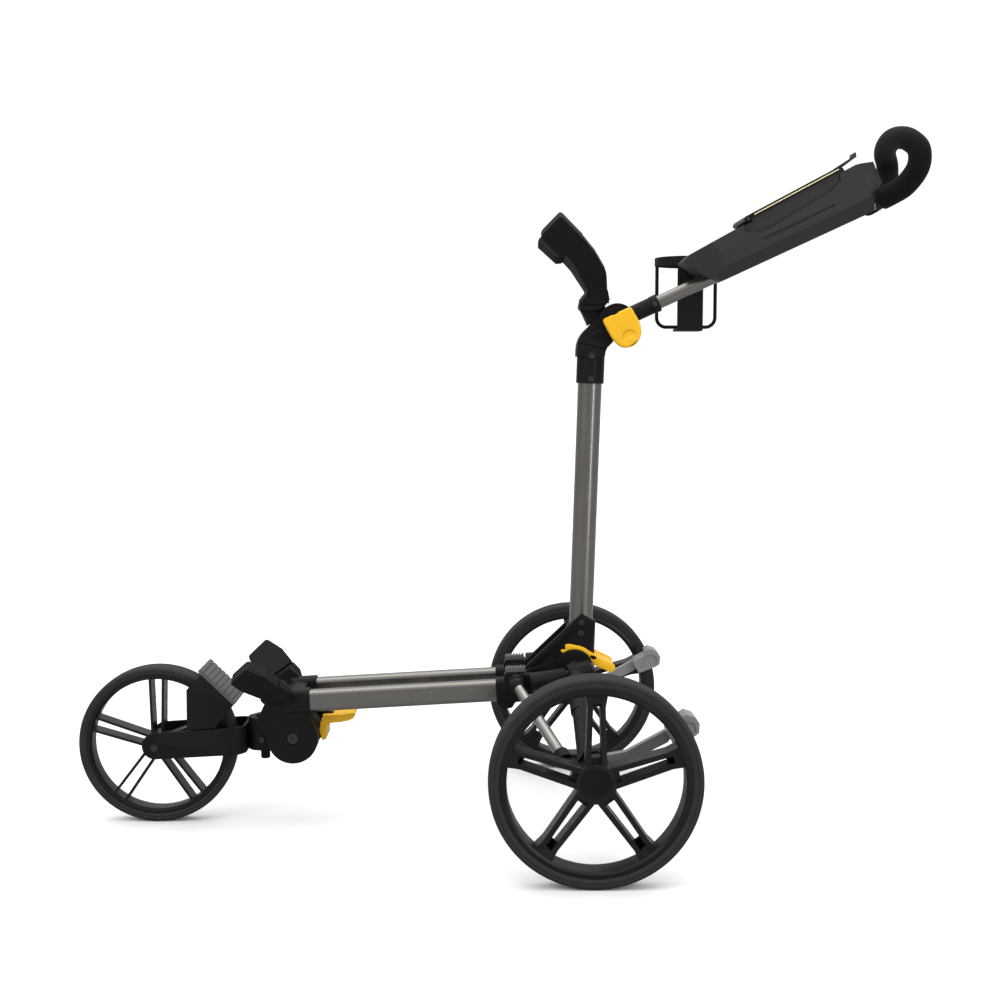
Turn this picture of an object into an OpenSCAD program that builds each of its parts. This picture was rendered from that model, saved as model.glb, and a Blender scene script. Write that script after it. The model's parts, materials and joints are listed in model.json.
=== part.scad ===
// Folding three-wheel golf push trolley.
// Origin on the floor, midway between the rear wheels under their axle line.
// +X forward to the front wheel, +Y to the trolley's left, +Z up.

/* [Wheels] */
// Outer radius of each rear tyre
rear_r = 145; // [140:1:150]
// Distance between the rear wheels' middle planes
track = 580; // [570:1:600]
// Outer radius of the front tyre
front_r = 121.4; // [112:0.1:122]
// Distance from the rear axle line to the front axle
wheelbase = 655; // [653:1:658]
// Width of a rear tyre
rear_w = 38; // [34:1:40]
// Width of the front tyre
front_w = 34; // [28:1:40]

/* [Frame] */
// Middle of each frame tube from the centre line
tube_y = 43; // [42:0.5:44]
// Frame tube width
tube_w = 22; // [20:0.5:22]
// Frame tube height
tube_h = 33; // [31:0.5:34]
// Downward slope of the frame tubes towards the front, degrees
tube_slope = 3.2; // [2.8:0.1:3.6]

/* [Mast] */
// Mast tube outer radius
mast_r = 18; // [17:0.25:18]
// Rearward lean of the mast, degrees
mast_lean = 1.84; // [1.5:0.02:2.1]

/* [Handle] */
// Rise of the handle towards the rear, degrees
handle_a = 24.7; // [23:0.1:26]
// Handle tube outer radius
handle_r = 10; // [9:0.25:10]
// Radius of the foam grip
foam_r = 16.5; // [15:0.5:18]
// Half width of the grip loop at its centre line
grip_half = 80; // [70:1:86]

/* [Hidden] */
$fn = 64;
// fold pivots, x and z
mp = [14, 245];
fp = [441, 140];
hp = [-48, 768];
// leg hinge axis: knuckle point and strut ball point on the left side
K = [6, 60, 246];
B = [102, 82, 228];
ku = (B - K) / norm(B - K);
S = [40, 244, 162];
su = (S - B) / norm(S - B);
fax = [wheelbase, 0, front_r];
e = 0.01;

// ---------- helpers ----------
module xz(y0, y1) { translate([0, y1, 0]) rotate([90, 0, 0]) linear_extrude(y1 - y0) children(); }
module both() { children(); mirror([0, 1, 0]) children(); }
module rod(p, q, r1, r2 = -1) {
    v = q - p; L = norm(v);
    translate(p) rotate([0, acos(v[2] / L), atan2(v[1], v[0])]) cylinder(h = L, r1 = r1, r2 = r2 < 0 ? r1 : r2);
}
module ybar(x, z, r, y0, y1) { translate([x, y1, z]) rotate([90, 0, 0]) cylinder(h = y1 - y0, r = r); }
module rr(w, h, r) {
    square([w - 2 * r, h], center = true);
    square([w, h - 2 * r], center = true);
    for (i = [-1, 1], j = [-1, 1]) translate([i * (w / 2 - r), j * (h / 2 - r)]) circle(r);
}
// frame along a left tube: local x forward from x=135
module tf() { translate([135, tube_y, 212.6]) rotate([0, tube_slope, 0]) children(); }
module bar(w, h, r, x0, x1) { translate([x0, 0, 0]) rotate([90, 0, 90]) linear_extrude(x1 - x0) rr(w, h, r); }
// frame along the mast: local z up from the main pivot height
module mf() { translate([4.6, 0, 245]) rotate([0, -mast_lean, 0]) children(); }
// frame along the handle: local x towards the grip, local z to its top side
module hf() { translate([hp[0], 0, hp[1]]) rotate([0, handle_a, 0]) mirror([1, 0, 0]) children(); }
// plate that leans outward from the line y0, z0 by angle a; heights stay true
module flare(y0, z0, a, t0, t1) {
    translate([0, y0, z0]) rotate([-a, 0, 0]) xz(t0 - y0, t1 - y0) scale([1, 1 / cos(a)]) translate([0, -z0]) children();
}

// ---------- frame ----------
module tube_one() {
    tf() difference() { bar(tube_w, tube_h, 8, -44, 296); bar(tube_w - 3.6, tube_h - 3.6, 6.2, -45, 297); }
}
module frame_tube_left() { color([0.40, 0.39, 0.37]) tube_one(); }
module frame_tube_right() { color([0.40, 0.39, 0.37]) mirror([0, 1, 0]) tube_one(); }

module housing_one() {
    difference() {
        union() {
            tf() bar(tube_w + 5, tube_h + 5.5, 9, 280, 320);
            xz(31.2, 54) polygon([[415, 176], [414, 173], [404, 150], [441, 140], [474, 130], [491, 160], [491, 176], [480, 200], [455, 212], [430, 200]]);
            ybar(fp[0], fp[1], 38, 31.2, 54);
            xz(40, 54) polygon([[415, 178], [440, 165], [491, 172], [478, 192], [489, 206], [458, 229], [446, 219]]);
            flare(47, 200, 34, 44, 57) polygon([[484, 200], [488, 206], [486, 211], [456, 232], [444, 222], [436, 200]]);
        }
        tf() bar(tube_w + 0.3, tube_h + 0.3, 8.15, 270, 296.3);
        ybar(fp[0], fp[1], 6.0, 20, 60);
        ybar(fp[0], fp[1], 9.5, 50, 60);
    }
    // moulded step that runs along the cheek
    xz(54, 54.8) polygon([[417, 174.5], [489, 173.5], [489, 176], [417, 177]]);
}
module front_housing_left() { color([0.12, 0.12, 0.12]) housing_one(); }
module front_housing_right() { color([0.12, 0.12, 0.12]) mirror([0, 1, 0]) housing_one(); }

module front_bridge() {
    color([0.13, 0.13, 0.13]) difference() {
        union() {
            xz(-29.5, 29.5) polygon([[428, 181], [462, 179], [462, 204], [446, 210], [428, 208]]);
            xz(-9, 9) polygon([[386, 160], [389, 155.5], [394, 153.8], [399, 155.5], [402, 160], [405, 169], [430, 182], [430, 200], [404, 187], [388, 169]]);
        }
        ybar(394, 162, 3.05, -40, 40);
    }
}

module lower_cradle_pads() {
    color([0.10, 0.10, 0.10]) both() flare(47, 200, 34, 41, 60)
        polygon([[487, 211.4], [514, 225], [527.5, 238], [526, 241], [503, 262.5], [499, 263], [475, 250], [457.5, 232.2]]);
}

module front_pivot_bolt() {
    color([0.3, 0.3, 0.3]) difference() {
        union() { ybar(fp[0], fp[1], 5.95, -51, 51); both() ybar(fp[0], fp[1], 8.8, 50.2, 52.6); }
        both() translate([fp[0], 54, fp[1]]) rotate([90, 0, 0]) cylinder(h = 3.4, r = 3.2, $fn = 6);
    }
}

module bracket_one() {
    a0 = K + ku * 24.3; a1 = K + ku * 80;
    difference() {
        union() {
            tf() bar(tube_w + 5, tube_h + 5, 9, -52, -2);
            // cheek that carries the main pivot
            xz(30, 38) polygon([[96, 238], [118, 236], [118, 196], [96, 200], [40, 217], [14, 217], [14, 273], [40, 258]]);
            ybar(mp[0], mp[1], 28, 30, 38);
            // lower lobe
            xz(32, 54) polygon([[133, 205], [131, 193], [121, 186], [109, 188], [100, 202], [100, 212]]);
            ybar(120, 192, 5.5, 54, 57);
            // clamp block on top
            xz(34, 56) polygon([[88, 226], [88, 240], [92, 243], [117, 242], [121, 238], [121, 226]]);
            // hinge arm on the leg axis and the strut cup
            rod(a0, a1, 10, 14);
            xz(44, 66) polygon([[96, 242], [76, 240], [64, 236], [64, 226], [84, 214], [104, 212]]);
            ybar(B[0], B[2], 13, 50, 76);
        }
        tf() bar(tube_w + 0.3, tube_h + 0.3, 8.15, -44.3, 10);
        rod(K + ku * 10, K + ku * 46, 6.0);
        translate(B) sphere(12.06);
        ybar(mp[0], mp[1], 8.0, 20, 50);
    }
}
module rear_bracket_left() { color([0.13, 0.13, 0.13]) bracket_one(); }
module rear_bracket_right() { color([0.13, 0.13, 0.13]) mirror([0, 1, 0]) bracket_one(); }

module rear_cross_tube() { color([0.36, 0.35, 0.34]) difference() { ybar(117, 209, 11, -29.5, 29.5); ybar(117, 209, 9, -40, 40); } }
module main_pivot_pin() {
    color([0.45, 0.45, 0.45]) union() { ybar(mp[0], mp[1], 7.95, -40, 40); both() ybar(mp[0], mp[1], 11, 38.2, 42.5); }
}
module frame_buffers() {
    color([0.42, 0.42, 0.41]) both() difference() {
        xz(36, 55) polygon([[89, 243.3], [89, 248], [91, 250], [117, 249], [119, 247], [119, 242.3]]);
        for (x = [93 : 4.4 : 116]) translate([x, 30, 247.6]) cube([1.8, 30, 5]);
    }
}
module leg_hinge_pins() {
    color([0.5, 0.5, 0.5]) both() union() { rod(K - ku * 16, K + ku * 45.5, 5.95); rod(K - ku * 20, K - ku * 15.3, 9.5); }
}
module front_latch() {
    color([0.95, 0.72, 0.12]) union() {
        difference() {
            xz(-21, 21) polygon([[399, 168.6], [388, 168.8], [373, 169.3], [359, 171.5], [352.5, 172.4], [350.2, 171], [349.6, 168], [352, 163.8], [359, 160], [373, 157.2], [385.5, 156.4], [389, 154.8], [391.5, 151.5], [393, 146.5], [393.2, 138.5], [393, 134], [395.2, 130.8], [398, 129.2], [400.3, 130], [402.2, 133.5], [403, 139], [404.4, 146.2], [403.4, 155], [401, 163]]);
            // slot for the lug
            xz(-9.6, 9.6) union() { translate([394, 162]) circle(12); polygon([[394, 162], [380, 176], [420, 190], [420, 160], [404, 151]]); }
        }
        ybar(394, 162, 3.0, -21, 21);
    }
}

// ---------- fork and front wheel ----------
module fork_stem() {
    color([0.14, 0.14, 0.14]) difference() {
        union() {
            ybar(fp[0], fp[1], 34, -27.8, 27.8);
            xz(-20, 20) polygon([[450, 112], [496, 113], [496, 163], [450, 164]]);
            translate([496, 0, 113]) cylinder(h = 50, r = 20);
        }
        ybar(fp[0], fp[1], 6.03, -40, 40);
        translate([491, 0, 100]) cylinder(h = 27, r = 3.06);
        translate([497, 0, 150]) cylinder(h = 30, r = 4.02);
        translate([493, 25, 130]) rotate([90, 0, 0]) cylinder(h = 16, r = 3.02);
    }
}
module fork_strap() {
    color([0.12, 0.12, 0.12]) difference() {
        intersection() {
            translate([0, 0, 90]) linear_extrude(80) difference() {
                union() { translate([534.2, -38]) square([146, 76]); translate([516.2, -20]) square([150, 40]); for (s = [-1, 1]) translate([534.2, 20 * s]) circle(18); }
                union() { translate([534.5, -33.5]) square([200, 67]); translate([520.8, -20]) square([200, 40]); for (s = [-1, 1]) translate([534.3, 20 * s]) circle(13.5); }
            }
            xz(-50, 50) union() { polygon([[510, 112], [653, 104.3], [653, 145], [510, 154.5]]); translate([653, 124.6]) circle(20.3); }
        }
        ybar(fax[0], fax[2], 6.0, -60, 60);
    }
}
module fork_screws() {
    color([0.3, 0.3, 0.3]) {
        translate([497, 0, 151]) cylinder(h = 13, r = 3.98);
        translate([497, 0, 163.4]) cylinder(h = 4, r = 7);
        translate([497, 0, 160]) cylinder(h = 4, r = 3.98);
        translate([493, 20.9, 130]) rotate([90, 0, 0]) cylinder(h = 10, r = 2.98);
        translate([493, 22.9, 130]) rotate([90, 0, 0]) cylinder(h = 2.6, r = 5, $fn = 6);
    }
}
module bag_base() {
    color([0.11, 0.11, 0.11]) union() {
        both() xz(33.6, 38.6) polygon([[604, 150.2], [603.5, 212], [600, 216], [581, 235], [535, 190], [536.5, 185], [541, 178], [548, 168.5], [557.5, 159.5], [560, 153.2]]);
        both() xz(29.6, 33.3) polygon([[600, 128], [600, 160], [566, 160], [566, 130]]);
        both() xz(30, 34) polygon([[600, 156], [600, 162], [566, 162], [566, 156]]);
        xz(-38.6, 38.6) polygon([[580.9, 235], [534.9, 190], [538.6, 186.4], [584.6, 231.4]]);
    }
}
module bag_base_pad() {
    u = [0.716, 0.698]; n = [-0.698, 0.716]; p = [534.6, 190.1] - 3 * u;
    color([0.40, 0.40, 0.40]) difference() {
        xz(-39, 39) union() {
            polygon([p, p + 72 * u, p + 72 * u + 6.6 * n, p + 6.6 * n]);
            translate(p + 72 * u + 3.3 * n) circle(3.3);
        }
        for (k = [0 : 7]) let (q = p + (5.4 + k * 8.6) * u + 6.6 * n) translate([q[0], 0, q[1]]) rotate([0, -44.3, 0]) translate([0, -50, -1.5]) cube([1.7, 100, 3]);
    }
}
module front_axle() {
    color([0.55, 0.55, 0.55]) {
        ybar(fax[0], fax[2], 5.95, -37.8, 37.8);
        both() ybar(fax[0], fax[2], 9, 20.4, 33.3);
    }
}
module tracking_knob() {
    color([0.10, 0.10, 0.10]) difference() {
        translate([491, 0, 0]) union() { translate([0, 0, 98]) cylinder(h = 13.5, r = 7.2); translate([0, 0, 96.6]) cylinder(h = 1.5, r1 = 6, r2 = 7.2); translate([0, 0, 110]) cylinder(h = 16, r = 3); }
        for (i = [0 : 11]) translate([491, 0, 0]) rotate(i * 30) translate([7.6, 0, 90]) cylinder(h = 19, r = 0.9);
    }
}
module front_tyre() {
    w = front_w / 2; r = front_r;
    color([0.25, 0.24, 0.23]) translate(fax) rotate([90, 0, 0]) rotate_extrude($fn = 96)
        polygon([[109.1, -w + 1.5], [r - 8, -w], [r - 4, -w + 2], [r - 1.4, -w + 6], [r, -w + 12], [r, w - 12], [r - 1.4, w - 6], [r - 4, w - 2], [r - 8, w], [109.1, w - 1.5]]);
}
module front_rim() {
    color([0.14, 0.14, 0.14]) translate(fax) difference() {
        union() {
            rotate([90, 0, 0]) rotate_extrude($fn = 96) polygon([[109, -15.5], [109, 15.5], [104, 15.5], [101.5, 12], [101, 0], [101.5, -12], [104, -15.5]]);
            ybar(0, 0, 17, -20, 20);
            for (i = [0 : 4]) rotate([0, -90 - i * 72, 0]) for (s = [-1, 1])
                xz(-13, 13) polygon([[9, s * 5.5], [102.5, s * 8.2], [102.5, s * 12], [9, s * 9.5]]);
        }
        ybar(0, 0, 14, 11.9, 30); ybar(0, 0, 14, -30, -11.9); ybar(0, 0, 7, -30, 30);
    }
}
module front_bearings() {
    color([0.6, 0.6, 0.6]) translate(fax) both() difference() { ybar(0, 0, 13.95, 12, 20); ybar(0, 0, 6.02, 10, 22); }
}

// ---------- upright ----------
module upright_foot() {
    color([0.13, 0.13, 0.13]) difference() {
        union() {
            both() xz(18.4, 23) polygon([[-17, 314], [-14, 316], [1, 325], [4, 325], [14, 316], [90, 243], [91, 238], [86, 233], [62, 220], [14, 219], [-12, 245], [-15, 290]]);
            both() xz(22.9, 25.4) polygon([[14, 316], [90, 243], [86, 238.5], [9, 311]]);
            both() xz(22.9, 25.4) polygon([[50, 257.5], [86, 233], [62, 220], [58, 223], [76, 233.5], [44, 254]]);
            ybar(mp[0], mp[1], 26, -23, 23);
            intersection() {
                mf() translate([0, 0, -4]) cylinder(h = 86, r = 22.6);
                xz(-30, 30) polygon([[-30, 230], [-30, 306], [-15, 315], [2, 325], [12, 317], [40, 290], [40, 230]]);
            }
        }
        mf() translate([0, 0, 29.9]) cylinder(h = 90, r = mast_r + 0.05);
        ybar(mp[0], mp[1], 8.03, -40, 40);
        both() ybar(3, 312, 2.6, 15, 30);
        both() ybar(4, 296, 2.6, 15, 30);
        ybar(-7, 266, 3.05, -30, 30);
    }
}
module upright_tube() {
    color([0.40, 0.39, 0.37]) difference() {
        mf() difference() { translate([0, 0, 30]) cylinder(h = 445.3, r = mast_r); translate([0, 0, 10]) cylinder(h = 480, r = mast_r - 1.7); }
        ybar(3, 312, 2.6, -30, 30); ybar(4, 296, 2.6, -30, 30); ybar(-9.3, 682, 2.6, -30, 30); ybar(-10.2, 717, 2.6, -30, 30);
    }
}
module knee_casting() {
    color([0.12, 0.12, 0.12]) difference() {
        union() {
            mf() translate([0, 0, 431]) cylinder(h = 50, r = 20.9);
            xz(-19.5, 19.5) polygon([[12.2, 716], [12, 727], [11, 735], [8.6, 742.5], [4.6, 749.5], [-0.6, 755.6], [-7, 761.5], [-14, 768], [-30, 768], [-42, 737], [-37.4, 733], [-33.8, 729], [-31.4, 723.5], [-30.4, 716]]);
            both() xz(14.2, 22) polygon([[10.2, 737], [8.6, 742.5], [4.6, 749.5], [-0.6, 755.6], [-7, 761.5], [-15, 770], [-30, 780], [-44, 742], [-41, 736.4], [-37.4, 733], [-33.8, 729]]);
            both() ybar(hp[0], hp[1], 27, 14.2, 26);
        }
        mf() translate([0, 0, 400]) cylinder(h = 76, r = mast_r + 0.05);
        ybar(hp[0], hp[1], 27.6, -14.2 - e, 14.2 + e);
        ybar(hp[0], hp[1], 6.03, -40, 40);
        ybar(-9.3, 682, 2.6, -40, 40); ybar(-10.2, 717, 2.6, -40, 40);
    }
    color([0.12, 0.12, 0.12]) both() difference() { ybar(hp[0], hp[1], 27, 25.9, 27.2); ybar(hp[0], hp[1], 24, 20, 30); }
}
module upper_cradle() {
    color([0.12, 0.12, 0.12]) union() {
        xz(-14, 14) polygon([[-20.8, 768], [-14, 768], [-5, 762.3], [3, 780], [7, 787], [-24, 788], [-30, 792.5], [-31.5, 790.5], [-28.9, 787.4], [-27.2, 785.6], [-22.4, 777.4], [-20.8, 770]]);
        xz(-20, 20) polygon([[-37, 800], [-30, 792], [-24, 786.5], [-4, 784.5], [7, 786], [9, 790], [7, 799], [-2, 811], [-34, 815]]);
        both() flare(12, 790, 30, 8, 20) polygon([[-36, 799], [-32, 818], [-30, 838], [-27, 846], [-12, 869], [6, 889], [30, 866], [18, 852], [-2, 819], [-2, 811], [7, 800], [6, 797]]);
    }
}
module upper_cradle_pads() {
    color([0.10, 0.10, 0.10]) both() flare(12, 790, 30, 5, 23)
        polygon([[6.3, 889.6], [38, 919], [42, 919.5], [66, 896], [68, 891], [40.5, 864.5], [31, 865.5]]);
}
module upright_screws() {
    color([0.28, 0.28, 0.28]) {
        for (p = [[3, 312], [4, 296]]) both() union() { ybar(p[0], p[1], 2.55, 14, 23.5); ybar(p[0], p[1], 4.6, 23.05, 25); }
        for (p = [[-9.3, 682], [-10.2, 717]]) both() union() { ybar(p[0], p[1], 2.55, 14, 22); ybar(p[0], p[1], 4.6, 21.0, 22.8); }
    }
}
module rear_latch() {
    color([0.95, 0.72, 0.12]) union() {
        both() xz(25.8, 29.2) polygon([[34, 269], [31, 274.5], [26, 273], [27, 279], [18, 281], [2, 276], [-12, 272], [-22, 262], [-22, 254], [-12, 258], [-3, 261], [6, 270], [20, 272], [29, 266]]);
        xz(-29.2, 29.2) polygon([[-19, 266], [-24, 266], [-43, 257], [-45, 252], [-44, 244], [-41, 241], [-38, 245], [-39, 251], [-22, 259]]);
        ybar(-7, 266, 3.0, -29.2, 29.2);
    }
}

// ---------- handle ----------
module handle_knuckle() {
    color([0.13, 0.13, 0.13]) hf() difference() {
        union() { ybar(0, 0, 26, -14, 14); rod([18, 0, 0], [68, 0, 0], 12.6); xz(-12, 12) polygon([[0, 12], [30, 12], [30, -12], [0, -12]]); rod([60, 0, 0], [70, 0, 0], 13.4); }
        rod([34, 0, 0], [90, 0, 0], handle_r + 0.05);
        ybar(0, 0, 6.0, -40, 40);
        ybar(63, 0, 2.2, -30, 30);
    }
}
module handle_tube() {
    color([0.42, 0.41, 0.39]) hf() difference() { rod([34.3, 0, 0], [424, 0, 0], handle_r); rod([30, 0, 0], [430, 0, 0], handle_r - 1.6); ybar(63, 0, 2.2, -30, 30); }
}
module handle_screws() {
    color([0.28, 0.28, 0.28]) hf() both() union() { ybar(63, 0, 2.15, 6, 13.6); ybar(63, 0, 3.8, 13.45, 15); }
}
// outer shape of the console between its planar facets, shrunk by d
module console_solid(d) {
    hf() intersection() {
        xz(-80, 80) polygon([[124 + d, 40 - d / 2], [146 + d, 6 + d], [160 + d, -6 + d], [166, -11 + d], [410, -11 + d], [414, 10], [428, 16], [442 - d, 22], [442 - d, 56 - d], [408, 62 - d], [208, 50 - d], [138, 45 - d]]);
        translate([0, 0, -60]) linear_extrude(180) polygon([for (s = [1, -1]) for (p = s > 0 ? [[120 + d, 26 - d], [176, 53 - d], [408, 56 - d], [442 - d, 20]] : [[442 - d, -20], [408, -56 + d], [176, -53 + d], [120 + d, -26 + d]]) p]);
        translate([100, 0, 0]) rotate([90, 0, 90]) linear_extrude(380) polygon([[-48 + d, 62 - d], [-56 + d, 10], [-34 + d, -11 + d], [34 - d, -11 + d], [56 - d, 10], [48 - d, 62 - d]]);
    }
}
module console_shell() {
    color([0.19, 0.19, 0.19]) difference() {
        union() {
            console_solid(0);
            hf() both() xz(51, 54.5) polygon([[225, 40], [225, 56], [229, 60.5], [236, 60.5], [239, 56], [239, 40]]);
            hf() both() xz(15, 19) polygon([[388, 50], [390, 66], [394, 69], [398, 66], [400, 50]]);
        }
        hf() {
            rod([100, 0, 0], [425, 0, 0], handle_r + 0.05);
            // tray under the lid
            xz(-50, 50) polygon([[239, 66], [241, 34], [248, 15], [366, 15], [376, 30], [382, 66]]);
            // curved scoop through both side walls
            xz(-80, 80) polygon([[221, 90], [223, 62], [225, 46], [230, 36], [240, 31], [254, 30], [360, 42], [372, 47], [380, 55], [384, 66], [384, 90]]);
            // finger groove on each side
            both() xz(52, 70) polygon([[240, 20], [243, 18], [356, 20], [357, 22.5], [243, 22]]);
            ybar(232.5, 56, 2.52, -80, 80);
            ybar(394, 65, 2.05, -40, 40);
            xz(-50.9, 50.9) polygon([[222, 80], [222, 51], [244, 51], [244, 80]]);
            xz(-14.9, 14.9) polygon([[384, 80], [384, 60], [404, 60], [404, 80]]);
        }
    }
    // inner bin walls under the lid
    color([0.19, 0.19, 0.19]) hf() both() xz(45, 46.6) polygon([[226, 34], [226, 50], [238, 50], [240, 54.6], [384, 63.4], [384, 33], [372, 14], [250, 12]]);
}
module console_lid_pin() { color([0.5, 0.5, 0.5]) hf() ybar(232.5, 56, 2.48, -54.4, 54.4); }
module console_lid() {
    color([0.06, 0.06, 0.06]) hf() difference() {
        union() {
            xz(-50.6, 50.6) polygon([[231, 54.5], [229, 58], [232, 61], [386, 69.8], [388.5, 68], [388, 66], [238, 56.6]]);
            xz(-50.6, 50.6) translate([232.5, 56]) circle(4.6);
            xz(-44, 44) polygon([[250, 57.6], [254, 27], [362, 33], [370, 40], [374, 65]]);
        }
        ybar(232.5, 56, 2.55, -60, 60);
        xz(-41, 41) polygon([[254, 50], [257, 20], [359, 20], [366, 42], [369, 60]]);
        xz(-41, 41) polygon([[246, 61.2], [376, 68.6], [376, 80], [246, 80]]);
    }
}
module console_flap() {
    color([0.30, 0.30, 0.30]) hf() union() {
        xz(-14, 14) polygon([[391, 66.5], [390.5, 69], [393, 71.5], [421, 75.5], [424, 80], [426, 79], [424, 73], [398, 67.6]]);
        ybar(394, 65, 2.0, -18.9, 18.9);
        xz(-14, 14) translate([394, 66.5]) circle(3.6);
    }
}

// grip loop: smooth closed path through points in the handle's own frame
gp = [[424.5, 39.4, 1], [438, 52, 1.5], [457, grip_half - 12, 5], [479, grip_half, 20], [490, grip_half + 1, 42], [489, grip_half - 14, 60], [488, 38, 70], [487.5, 0, 74]];
gfull = concat(gp, [for (i = [6 : -1 : 0]) [gp[i][0], -gp[i][1], gp[i][2]]]);
function at(p, i) = p[max(0, min(len(p) - 1, i))];
function cr(a, b, c, d, t) = 0.5 * ((2 * b) + (c - a) * t + (2 * a - 5 * b + 4 * c - d) * t * t + (3 * b - a - 3 * c + d) * t * t * t);
function ext(p, i) = i < 0 ? 2 * p[0] - p[1] : i >= len(p) ? 2 * p[len(p) - 1] - p[len(p) - 2] : p[i];
function smooth(p, n) = [for (i = [0 : len(p) - 2], k = [0 : n - 1]) cr(ext(p, i - 1), p[i], p[i + 1], ext(p, i + 2), k / n), p[len(p) - 1]];
function unit(v) = v / norm(v);
function tan_at(p, i) = unit(at(p, i + 1) - at(p, i - 1));
// ring frame kept upright by the sweep's side direction
function ring(p, i, r, m) = let (t = i == 0 ? unit([17, 16, 0]) : i == len(p) - 1 ? unit([-17, 16, 0]) : tan_at(p, i), b = unit(cross(t, [1, 0, 0.35])), n = cross(b, t))
    [for (k = [0 : m - 1]) p[i] + r * (cos(360 * k / m) * n + sin(360 * k / m) * b)];
module sweep_solid(p, r, m) {
    n = len(p);
    pts = [for (i = [0 : n - 1]) each ring(p, i, r, m)];
    side = [for (i = [0 : n - 2], k = [0 : m - 1]) [i * m + k, i * m + (k + 1) % m, (i + 1) * m + (k + 1) % m, (i + 1) * m + k]];
    polyhedron(pts, concat([[for (k = [m - 1 : -1 : 0]) k]], side, [[for (k = [0 : m - 1]) (n - 1) * m + k]]), convexity = 8);
}
module sweep_tube(p, ro, ri, m) {
    n = len(p); o = n * m;
    pts = concat([for (i = [0 : n - 1]) each ring(p, i, ro, m)], [for (i = [0 : n - 1]) each ring(p, i, ri, m)]);
    outer = [for (i = [0 : n - 2], k = [0 : m - 1]) [i * m + k, i * m + (k + 1) % m, (i + 1) * m + (k + 1) % m, (i + 1) * m + k]];
    inner = [for (i = [0 : n - 2], k = [0 : m - 1]) [o + i * m + k, o + (i + 1) * m + k, o + (i + 1) * m + (k + 1) % m, o + i * m + (k + 1) % m]];
    c0 = [for (k = [0 : m - 1]) [k, o + k, o + (k + 1) % m, (k + 1) % m]];
    c1 = [for (k = [0 : m - 1]) let (q = (n - 1) * m) [q + k, q + (k + 1) % m, o + q + (k + 1) % m, o + q + k]];
    polyhedron(pts, concat(outer, inner, c0, c1), convexity = 10);
}
gpath = smooth(gfull, 3);
module grip_tube() { color([0.35, 0.35, 0.35]) hf() sweep_solid(gpath, 10, 20); }
module grip_foam() { color([0.07, 0.07, 0.07]) hf() sweep_tube(gpath, foam_r, 10.2, 20); }

module cam_bolt() {
    color([0.5, 0.5, 0.5]) hf() union() {
        ybar(0, 0, 5.95, -31, 28.4); ybar(0, 0, 10.5, -31.5, -27.4);
        translate([-4, 28, -3]) cube([8, 12, 10.5]);
        rod([-4, 40, 4], [4, 40, 4], 4);
        rod([-14, 40, 4], [14, 40, 4], 2.5);
    }
}
module lever_face() {
    polygon([[-19.6, -8.5], [-20.6, 2], [-20.6, 8.5], [-19.8, 10.8], [-17.6, 12], [-1, 12], [0.4, 10.4], [1.8, 12], [22.4, 12], [24.8, 11.2], [25.8, 9], [26.6, 0], [27.8, -9.6], [27.8, -17], [26.4, -24.5], [23.2, -31.3], [18.2, -36.8], [11.8, -40.7], [4.8, -42.6], [-2.2, -42], [-8.6, -38.8], [-13.6, -33.4], [-16.8, -26.6], [-18.6, -18.1]]);
}
module cam_lever() {
    color([0.97, 0.74, 0.13]) hf() difference() {
        union() {
            xz(33.5, 45) lever_face();
            intersection() { xz(30, 45) lever_face(); translate([-40, 20, -60]) cube([80, 40, 62.6]); }
        }
        // shallow finger recess
        xz(43.2, 50) translate([5, -29]) circle(11);
        translate([-4.3, 26, -3.6]) cube([8.6, 18.2, 18]);
        rod([-30, 40, 4], [35, 40, 4], 2.55);
    }
}
module holder_bracket() {
    color([0.10, 0.10, 0.10]) difference() {
        hf() union() { ybar(145, 18, 7.5, -60, -34); ybar(145, 18, 4.95, -69, -59); ybar(145, 18, 8.5, -71.5, -68.6); }
        console_solid(0);
    }
}
hcx = -169; hcy = -112;
module holder_ring() {
    color([0.07, 0.07, 0.07]) difference() {
        translate([hcx, hcy, 860]) cylinder(h = 12.5, r = 50, $fn = 96);
        translate([hcx, hcy, 855]) cylinder(h = 30, r = 46.8, $fn = 96);
    }
}
module holder_frame() {
    color([0.07, 0.07, 0.07]) union() {
        for (s = [-1, 1]) translate([hcx + s * 46.4, hcy, 779]) cylinder(h = 81, r = 2.8);
        for (s = [-1, 1]) translate([hcx + s * 31.4, hcy, 779]) intersection() {
            rotate([90, 0, 0]) rotate_extrude($fn = 64) translate([15, 0]) circle(2.8);
            translate([s > 0 ? 0 : -25, -5, -25]) cube([25, 10, 25]);
        }
        translate([hcx - 31.4, hcy, 764]) rotate([0, 90, 0]) cylinder(h = 62.8, r = 2.8);
    }
}
module holder_spine() {
    color([0.05, 0.05, 0.05]) difference() {
        union() {
            translate([hcx - 20, -64.9, 760]) cube([40, 2.8, 100]);
            translate([hcx - 20, -114, 756.8]) cube([40, 51.9, 3.9]);
        }
        hf() ybar(145, 18, 5.02, -80, -50);
    }
}

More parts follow.
